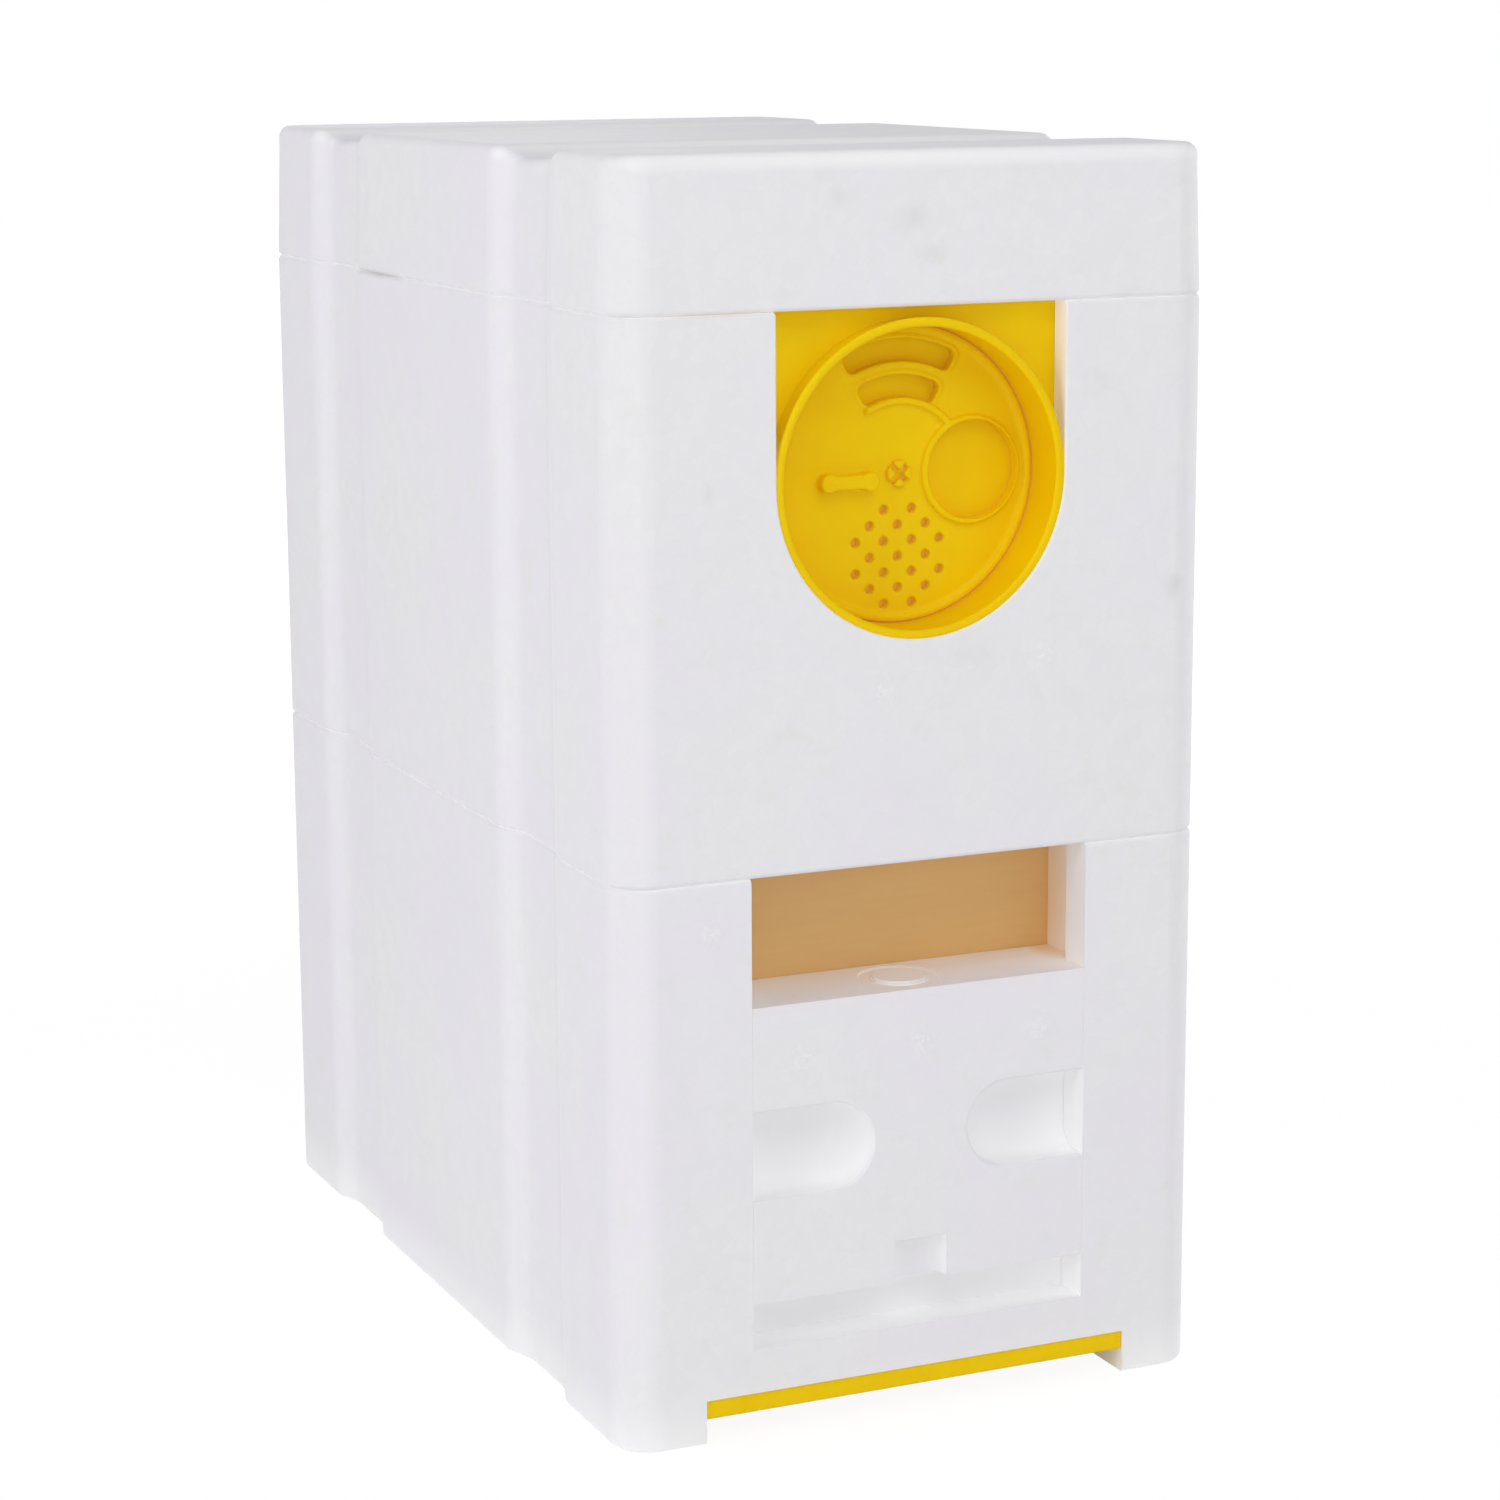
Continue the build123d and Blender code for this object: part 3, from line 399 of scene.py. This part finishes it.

# %% [markdown]
# ## Marks, painted shade and painted light on the foam
#
# A box in use gets marks: grey smudges on the foam, and a brown line in the joint under the lid, as
# bees' resin leaves. The other marks are painted light and shade. A tan tint on the foam round the
# board in the window is painted light, the warm reflection of the board on the jamb and the sill. Grey
# on the upright corners is painted shade that tones down their highlight, and a paler white on the
# front edge of the lid and in parts of the strap grooves is a painted highlight that lifts the shade
# there.
# Each mark is a place, how far it reaches along X, Y and Z, a colour, a strength, and whether it is
# patchy. The steam vents of the mould leave rough spots, which are a place alone.

# %% Mark and dress the foam
GREY_DIRT_AND_PAINTED_SHADE = srgb(196, 194, 190)
RESIN = srgb(196, 138, 74)
PAINTED_TAN_BOUNCE = srgb(246, 206, 150)
PAINTED_WARM_BOUNCE = srgb(255, 232, 210)
MARKS = [
    ((-21, -119.5, 276), (8, 6, 6), GREY_DIRT_AND_PAINTED_SHADE, 0.25, True),
    ((-2, -119.5, 269), (9, 6, 5), GREY_DIRT_AND_PAINTED_SHADE, 0.24, True),
    ((2, -119.5, 262), (7, 6, 4), GREY_DIRT_AND_PAINTED_SHADE, 0.17, True),
    ((-50.8, -120, 213), (2.4, 4, 5), GREY_DIRT_AND_PAINTED_SHADE, 0.3, True),
    ((42, -120, 232), (5, 4, 5), GREY_DIRT_AND_PAINTED_SHADE, 0.22, True),
    ((63.5, -120, 186), (4, 4, 6), GREY_DIRT_AND_PAINTED_SHADE, 0.25, True),
    ((11, -120, 173), (16, 4, 10), GREY_DIRT_AND_PAINTED_SHADE, 0.08, True),
    ((-72.5, 32, 250.5), (3, 26, 1.4), GREY_DIRT_AND_PAINTED_SHADE, 0.5, False),
    ((-47, -119.5, 250.4), (24, 3, 0.8), RESIN, 0.15, False),
    # painted light: the tan tint on the jamb and the warm tint on the sill are the board's warm reflection
    ((42, -97, 112), (6, 18, 44), PAINTED_TAN_BOUNCE, 1.0, False),
    ((-22, -97, 99), (48, 32, 4), PAINTED_WARM_BOUNCE, 0.42, False),
    ((22, -97, 99), (48, 32, 4), PAINTED_WARM_BOUNCE, 0.42, False),
    # painted light: a painted highlight on the lid's front edge and on the groove ramps across the lid, and
    # lifted shade on the groove floors
    ((0, -118.6, 283), (170, 4, 4), FOAM_PALE_AND_PAINTED_LIGHT, 1.0, False),
    ((0, -48.5, 283.4), (170, 5, 4), FOAM_PALE_AND_PAINTED_LIGHT, 1.0, False),
    ((0, 81.5, 283.4), (170, 5, 4), FOAM_PALE_AND_PAINTED_LIGHT, 1.0, False),
    ((0, -70, 281.2), (200, 12, 4), FOAM_PALE_AND_PAINTED_LIGHT, 0.6, False),
    ((0, 60, 281.2), (200, 12, 4), FOAM_PALE_AND_PAINTED_LIGHT, 0.6, False),
]
CORNER_X = 69.9
CORNER_Y = 117.4
RAMP_X = 71
RAMPS_Y = (-80, 50)
# painted shade: grey on the four upright corners tones down their highlight
for across in (-CORNER_X, CORNER_X):
    for along in (-CORNER_Y, CORNER_Y):
        MARKS.append(((across, along, 230), (8, 8, 450), GREY_DIRT_AND_PAINTED_SHADE, 0.19, False))
# painted light: a paler white on the front ramps of the strap grooves on both sides lifts the shade at
# their edges
for across in (-RAMP_X, RAMP_X):
    for along in RAMPS_Y:
        MARKS.append(((across, along, 142), (5, 6, 500), FOAM_PALE_AND_PAINTED_LIGHT, 0.55, False))
VENTS = [
    (-29, -120, 86.5),
    (0, -120, 86.5),
    (30, -120, 86.5),
    (-51.4, -120, 117.5),
    (-9, -120, 167),
    (30, -120, 172),
]
foam = foam_finish("bead_foam", MARKS, VENTS)
dress(foam, "lower_body", "upper_body", "front_gate", "lid")

# %% [markdown]
# ## Filling mark
#
# Beads are blown into the mould through a port that a plunger shuts. On the top of the gate it has left
# a groove, which the CAD gate has, and inside that a low button with a soft rim and a shallow dish. The
# button starts as a circle, which is raised, inset and sunk, and a bevel rounds its rim.

# %% Raise the filling mark
BUTTON_RADIUS = 6.2
BUTTON_RISE = 0.45
BUTTON_TOP = 2 * BUTTON_RISE
BUTTON_RIM = 1.3
BUTTON_DISH = 0.25
BUTTON_ROUND = 0.3
BUTTON_SIDES = 64
BUTTON_STEPS = 4
NEAR_TOP = 0.95
MARK_MIDDLE = -108.4

gate_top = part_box("front_gate")[1].z / MM
button = bmesh.new()
bmesh.ops.create_circle(button, cap_ends=True, segments=BUTTON_SIDES, radius=BUTTON_RADIUS * MM)
raised = bmesh.ops.extrude_face_region(button, geom=button.faces[:])["geom"]
raised_verts = [item for item in raised if isinstance(item, bmesh.types.BMVert)]
raised_face = [item for item in raised if isinstance(item, bmesh.types.BMFace)]
bmesh.ops.translate(button, verts=raised_verts, vec=(0, 0, BUTTON_TOP * MM))
bmesh.ops.inset_individual(button, faces=raised_face, thickness=BUTTON_RIM * MM, depth=-BUTTON_DISH * MM)
high_enough = NEAR_TOP * BUTTON_TOP * MM
rims = [edge for edge in button.edges if min(vert.co.z for vert in edge.verts) > high_enough]
bmesh.ops.bevel(button, geom=rims, offset=BUTTON_ROUND * MM, segments=BUTTON_STEPS, profile=0.5,
                affect="EDGES", material=-1)
bmesh.ops.translate(button, verts=button.verts, vec=Vector((0, MARK_MIDDLE, gate_top - BUTTON_RISE)) * MM)
bmesh.ops.recalc_face_normals(button, faces=button.faces)
for face in button.faces:
    face.smooth = True
button_mesh = bpy.data.meshes.new("filling_mark")
button.to_mesh(button_mesh)
button.free()
button_mesh.materials.append(foam)
filling_mark = bpy.data.objects.new("filling_mark", button_mesh)
bpy.context.scene.collection.objects.link(filling_mark)
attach(filling_mark, "gate")
print("filling mark on the gate's top, at", round(gate_top, 1), "mm")

# %% [markdown]
# ## Yellow moulded plastic
#
# The entrance and the floor are injection moulded, with a half gloss that breaks up a little over the
# surface. The frames are moulded in the same yellow, but matt. Narrow pits such as the air holes get
# painted light, so that they are hardly darker than the disc: ambient occlusion finds the pits, and a
# paler colour and a weak glow lift their shade, as light that seeps through the thin plastic round
# them would. The frames and the feeder get a slightly darker pit tone, which is painted shade.

# %% Make the plastic finishes
EDGE_ROUND = 0.4
PIT_REACH = 2.5
FLOWS_PER_METRE = 55.0
SKIN_PER_METRE = 2600.0
SKIN_BUMP_DEPTH = 0.02
SKIN_BUMP_STRENGTH = 0.3
SMOOTHER = 0.06
ROUGHER = 0.08

def moulded_plastic(name, base, shade, painted_pit_tone, seep, roughness, gloss):
    """Moulded plastic with a faint flow in its colour, a painted tone in its pits, a fine skin and rounded
    edges.
    """
    finish, tree, shader, coords = start_finish(name)
    flow = texture(tree, "Noise", coords, FLOWS_PER_METRE, Detail=3.0, Distortion=0.8)
    skin = texture(tree, "Noise", coords, SKIN_PER_METRE, Detail=2.0)
    colour = blend_colours(tree, stretch(tree, flow.outputs["Fac"], 0.3, 0.75), base, shade)
    shelter = tree.nodes.new("ShaderNodeAmbientOcclusion")
    shelter.inputs["Distance"].default_value = PIT_REACH * MM
    # painted pit tone where ambient occlusion finds shelter: lighter pits for the yellow, darker ones for
    # the frames and the feeder
    colour = blend_colours(tree, stretch(tree, shelter.outputs["AO"], 0.15, 0.55), painted_pit_tone, colour)
    plug(tree, colour, shader.inputs["Base Color"])
    # a painted glow in the pits
    if seep:
        shader.inputs["Emission Color"].default_value = painted_pit_tone
        seeping = stretch(tree, shelter.outputs["AO"], 0.0, 0.5, seep, 0.0)
        plug(tree, seeping, shader.inputs["Emission Strength"])
    gleam = stretch(tree, flow.outputs["Fac"], 0.2, 0.8, roughness - SMOOTHER, roughness + ROUGHER)
    plug(tree, gleam, shader.inputs["Roughness"])
    shader.inputs["Specular IOR Level"].default_value = gloss
    bump = raise_bump(tree, shader, skin.outputs["Fac"], SKIN_BUMP_DEPTH, SKIN_BUMP_STRENGTH)
    edges = tree.nodes.new("ShaderNodeBevel")
    edges.inputs["Radius"].default_value = EDGE_ROUND * MM
    tree.links.new(edges.outputs["Normal"], bump.inputs["Normal"])
    return finish


storeys = {"lower": 5, "upper": 6}
frame_names = [f"{storey}_frame_{n + 1}" for storey, count in storeys.items() for n in range(count)]
yellow = moulded_plastic(
    "yellow_plastic", base=srgb(246, 208, 4), shade=srgb(243, 202, 4), painted_pit_tone=srgb(255, 218, 80),
    seep=0.07, roughness=0.42, gloss=0.1)
dress(yellow, "entrance_plate", "floor_slide")
frame_yellow = moulded_plastic(
    "frame_plastic", base=srgb(234, 190, 8), shade=srgb(228, 182, 10), painted_pit_tone=srgb(222, 176, 40),
    seep=0.0, roughness=0.55, gloss=0.2)
dress(frame_yellow, *frame_names)
feeder = moulded_plastic(
    "feeder_plastic", base=srgb(232, 228, 214), shade=srgb(224, 219, 203), painted_pit_tone=srgb(230, 222, 196),
    seep=0.03, roughness=0.4, gloss=0.4)
dress(feeder, "feed_trough", "feed_grid")

# %% [markdown]
# ## Entrance disc
#
# A worn mould gives soft edges, and on the disc nearly every line in the photograph is such an edge:
# the lips of the hole and the arcs, the ridge between them and the finger bar. The CAD disc has them
# with small fillets. A copy of it is rebuilt here from small cubes by Remesh, which joins all its faces
# into one skin, and Smooth then rounds every edge by about the same amount, as a mould does.

# %% Soften the disc
SKIN_ROUNDS = 5
SKIN_PULL = 0.5

def soften(node, name, body, finish, step):
    """A copy of a CAD node in skin of a given step, with all its edges rounded by about twice that step."""
    copy = bmesh.new()
    copy.from_mesh(nodes[node].data)
    bmesh.ops.remove_doubles(copy, verts=copy.verts, dist=MERGE)
    mesh = bpy.data.meshes.new(name)
    copy.to_mesh(mesh)
    copy.free()
    mesh.materials.clear()
    mesh.materials.append(finish)
    piece = bpy.data.objects.new(name, mesh)
    bpy.context.scene.collection.objects.link(piece)
    skin = piece.modifiers.new("skin", "REMESH")
    skin.mode = "VOXEL"
    skin.voxel_size = step * MM
    skin.use_smooth_shade = True
    rounding = piece.modifiers.new("rounding", "SMOOTH")
    rounding.factor = SKIN_PULL
    rounding.iterations = SKIN_ROUNDS
    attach(piece, body)
    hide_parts(node)
    view = piece.evaluated_get(bpy.context.evaluated_depsgraph_get())
    print(name, "has", len(view.data.polygons), "faces")


soften("entrance_disc", "soft_disc", "disc", yellow, step=0.3)
soften("pivot_pin", "soft_pin", "upper", yellow, step=0.16)

# %% [markdown]
# ## Rim of the well
#
# The well ends in a thick rounded rim, a bright ring in the photograph that meets the foam without a
# gap. The CAD well has a thin wall there. The rim goes over it: a circle, flattened a little, spun once
# round the axis of the disc.

# %% Spin the rim
RIM_TURN = 34.1
RIM_HALF_WIDTH = 1.05
RIM_HALF_DEPTH = 0.65
RIM_FRONT = -119.85
RIM_SIDES = 20
RIM_STEPS = 160
DISC_LEVEL = 213.0

rim = bmesh.new()
bmesh.ops.create_circle(rim, segments=RIM_SIDES, radius=MM)
bmesh.ops.scale(rim, verts=rim.verts, vec=(RIM_HALF_WIDTH, RIM_HALF_DEPTH, 1))
rim_place = Vector((RIM_TURN, RIM_FRONT + RIM_HALF_DEPTH, DISC_LEVEL)) * MM
bmesh.ops.translate(rim, verts=rim.verts, vec=rim_place)
bmesh.ops.spin(rim, geom=rim.edges[:], cent=Vector((0, 0, DISC_LEVEL)) * MM, axis=(0, 1, 0),
               angle=math.tau, steps=RIM_STEPS, use_merge=True)
bmesh.ops.remove_doubles(rim, verts=rim.verts, dist=MERGE)
bmesh.ops.recalc_face_normals(rim, faces=rim.faces)
for face in rim.faces:
    face.smooth = True
rim_mesh = bpy.data.meshes.new("well_rim")
rim.to_mesh(rim_mesh)
rim.free()
rim_mesh.materials.append(yellow)
well_rim = bpy.data.objects.new("well_rim", rim_mesh)
bpy.context.scene.collection.objects.link(well_rim)
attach(well_rim, "upper")
print("rim", round(2 * (RIM_TURN + RIM_HALF_WIDTH), 1), "mm across,", len(rim_mesh.polygons), "faces")

# %% [markdown]
# ## Tan board
#
# What shows in the window is the board that closes the feed chamber. It is pressed fibre board, even in
# colour, with short fibres along its length.

# %% Make the board finish
BOARD_LIGHT = srgb(231, 186, 120)
BOARD_DARK = srgb(229, 183, 117)
BOARD_ROUGHNESS = 0.7
BOARD_CLOUDS_PER_METRE = 30.0
FIBRES_PER_METRE = 900.0
FIBRE_SQUEEZE = (0.12, 1.0, 1.0)
FIBRE_BUMP_DEPTH = 0.03
FIBRE_BUMP_STRENGTH = 0.25

def board_finish(name):
    """Pressed board with short fibres."""
    finish, tree, shader, coords = start_finish(name)
    squeeze = tree.nodes.new("ShaderNodeMapping")
    squeeze.inputs["Scale"].default_value = FIBRE_SQUEEZE
    tree.links.new(coords, squeeze.inputs["Vector"])
    fibres = texture(tree, "Noise", squeeze.outputs[0], FIBRES_PER_METRE, Detail=3.0, Roughness=0.6)
    clouds = texture(tree, "Noise", coords, BOARD_CLOUDS_PER_METRE, Detail=3.0)
    tone = math_node(tree, "ADD", fibres.outputs["Fac"], clouds.outputs["Fac"])
    colour = blend_colours(tree, stretch(tree, tone, 0.7, 1.3), BOARD_LIGHT, BOARD_DARK)
    plug(tree, colour, shader.inputs["Base Color"])
    shader.inputs["Roughness"].default_value = BOARD_ROUGHNESS
    raise_bump(tree, shader, fibres.outputs["Fac"], FIBRE_BUMP_DEPTH, FIBRE_BUMP_STRENGTH)
    return finish


dress(board_finish("tan_board"), "division_board")

# %% [markdown]
# ## Wax foundation
#
# Foundation is a thin sheet of bees' wax, pressed on both sides with the bases of cells, points up as
# bees build them. The CAD sheet is plain. Here one six-sided cell is repeated in rows, every cell is
# inset and sunk, and its floor is drawn down to a point. Trimming that field to the sheet's edges and
# mirroring it gives both sides.

# %% Press the foundation sheets
CELL_WIDTH = 5.4
CELL_DEPTH = 0.38
CELL_SLOPE = 0.55
POINT_DEPTH = 0.15
CELL_MERGE = 1e-5
CUT_TOLERANCE = 1e-7
WAX_LIGHT = srgb(228, 178, 84)
WAX_DARK = srgb(214, 158, 62)
WAX_CLOUDS_PER_METRE = 60.0
WAX_ROUGHNESS = 0.45
WAX_DEPTH_SHARE = 0.2
WAX_DEPTH_COLOUR = (1.0, 0.6, 0.25)
WAX_DEPTH = 2.0
UPRIGHT = Matrix.Rotation(math.pi / 2, 4, "X")

def repeat(mesh, step, count):
    """Copies all that a bmesh holds so far, several times, one step apart."""
    first = mesh.verts[:] + mesh.edges[:] + mesh.faces[:]
    for number in range(1, count):
        copy = bmesh.ops.duplicate(mesh, geom=first)["geom"]
        moved = [piece for piece in copy if isinstance(piece, bmesh.types.BMVert)]
        bmesh.ops.translate(mesh, verts=moved, vec=Vector(step) * number)


def trim(mesh, place, outwards):
    """Cuts off what lies outside a plane."""
    everything = mesh.verts[:] + mesh.edges[:] + mesh.faces[:]
    bmesh.ops.bisect_plane(mesh, geom=everything, dist=CUT_TOLERANCE, plane_co=place, plane_no=outwards,
                           clear_outer=True)


def press_sheet(size):
    """One sheet of foundation, flat on X and Y, about its own middle."""
    half = Vector(size) / 2
    width = CELL_WIDTH * MM
    row = width * math.sqrt(3) / 2
    columns = math.ceil(size[0] / width) + 2
    pairs = math.ceil(size[1] / row / 2) + 1
    wax = bmesh.new()
    bmesh.ops.create_circle(wax, cap_ends=True, segments=6, radius=width / math.sqrt(3))
    shifted = bmesh.ops.duplicate(wax, geom=wax.verts[:] + wax.edges[:] + wax.faces[:])["geom"]
    moved = [piece for piece in shifted if isinstance(piece, bmesh.types.BMVert)]
    bmesh.ops.translate(wax, verts=moved, vec=(width / 2, row, 0))
    repeat(wax, (width, 0, 0), columns)
    repeat(wax, (0, 2 * row, 0), pairs)
    middle = Vector(((columns - 0.5) * width / 2, (pairs - 0.5) * row, 0))
    bmesh.ops.translate(wax, verts=wax.verts, vec=Vector((0, 0, half.z)) - middle)
    bmesh.ops.remove_doubles(wax, verts=wax.verts, dist=CELL_MERGE)
    bmesh.ops.recalc_face_normals(wax, faces=wax.faces)
    if wax.faces[0].normal.z < 0:
        bmesh.ops.reverse_faces(wax, faces=wax.faces)
    cells = wax.faces[:]
    bmesh.ops.inset_individual(wax, faces=cells, thickness=CELL_SLOPE * MM, depth=-CELL_DEPTH * MM)
    bmesh.ops.poke(wax, faces=cells, offset=-POINT_DEPTH * MM)
    for side in (-1, 1):
        trim(wax, (side * half.x, 0, 0), (side, 0, 0))
        trim(wax, (0, side * half.y, 0), (0, side, 0))
    border = [edge for edge in wax.edges if edge.is_boundary]
    skirt = bmesh.ops.extrude_edge_only(wax, edges=border)["geom"]
    lowered = [piece for piece in skirt if isinstance(piece, bmesh.types.BMVert)]
    bmesh.ops.scale(wax, verts=lowered, vec=(1, 1, 0))
    everything = wax.verts[:] + wax.edges[:] + wax.faces[:]
    bmesh.ops.mirror(wax, geom=everything, axis="Z", merge_dist=MERGE)
    bmesh.ops.remove_doubles(wax, verts=wax.verts, dist=MERGE)
    bmesh.ops.recalc_face_normals(wax, faces=wax.faces)
    return wax


def wax_finish(name):
    """Amber wax, soft and a little cloudy."""
    finish, tree, shader, coords = start_finish(name)
    clouds = texture(tree, "Noise", coords, WAX_CLOUDS_PER_METRE, Detail=4.0)
    colour = blend_colours(tree, clouds.outputs["Fac"], WAX_LIGHT, WAX_DARK)
    plug(tree, colour, shader.inputs["Base Color"])
    shader.inputs["Roughness"].default_value = WAX_ROUGHNESS
    shader.inputs["Subsurface Weight"].default_value = WAX_DEPTH_SHARE
    shader.inputs["Subsurface Radius"].default_value = WAX_DEPTH_COLOUR
    shader.inputs["Subsurface Scale"].default_value = WAX_DEPTH * MM
    return finish


amber = wax_finish("wax_sheet")
for storey, count in storeys.items():
    for number in range(1, count + 1):
        node = f"{storey}_foundation_{number}"
        low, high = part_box(node)
        span = high - low
        pressed = press_sheet((span.x, span.z, span.y))
        place = Matrix.Translation((low + high) / 2) @ UPRIGHT
        bmesh.ops.transform(pressed, matrix=place, verts=pressed.verts)
        mesh = bpy.data.meshes.new(f"{storey}_wax_{number}")
        pressed.to_mesh(mesh)
        pressed.free()
        mesh.materials.append(amber)
        piece = bpy.data.objects.new(mesh.name, mesh)
        bpy.context.scene.collection.objects.link(piece)
        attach(piece, storey)
        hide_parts(node)
    print(storey, "storey:", count, "sheets,", len(mesh.polygons), "faces each")

# %% [markdown]
# ## Clear film
#
# The inner cover over the upper frames is a clear sheet, faintly clouded where bees have walked on it.
# As glass it would throw a dark shadow on the frames, so the sheet is made thin to the light by its
# alpha, and its gloss and its clouds are what show it.

# %% Make the film
FILM_TONE = srgb(244, 246, 244)
FILM_GLOSS = 0.6
FILM_CLOUDS_PER_METRE = 40.0
FILM_CLEAREST = 0.1
FILM_CLOUDIEST = 0.24

def film_finish(name):
    """Clear film with faint clouds in its gloss and its alpha."""
    finish, tree, shader, coords = start_finish(name)
    clouds = texture(tree, "Noise", coords, FILM_CLOUDS_PER_METRE, Detail=3.0)
    dullness = stretch(tree, clouds.outputs["Fac"], 0.2, 0.8, FILM_CLEAREST, FILM_CLOUDIEST)
    plug(tree, dullness, shader.inputs["Roughness"])
    cover = stretch(tree, clouds.outputs["Fac"], 0.3, 0.75, FILM_CLEAREST, FILM_CLOUDIEST)
    plug(tree, cover, shader.inputs["Alpha"])
    shader.inputs["Base Color"].default_value = FILM_TONE
    shader.inputs["Specular IOR Level"].default_value = FILM_GLOSS
    return finish


dress(film_finish("clear_film"), "inner_cover")

# %% [markdown]
# ## Sizes
#
# The box round everything that renders, which should stay the size of the CAD model, is worked out here.

# %% Work out the size
low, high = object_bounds()
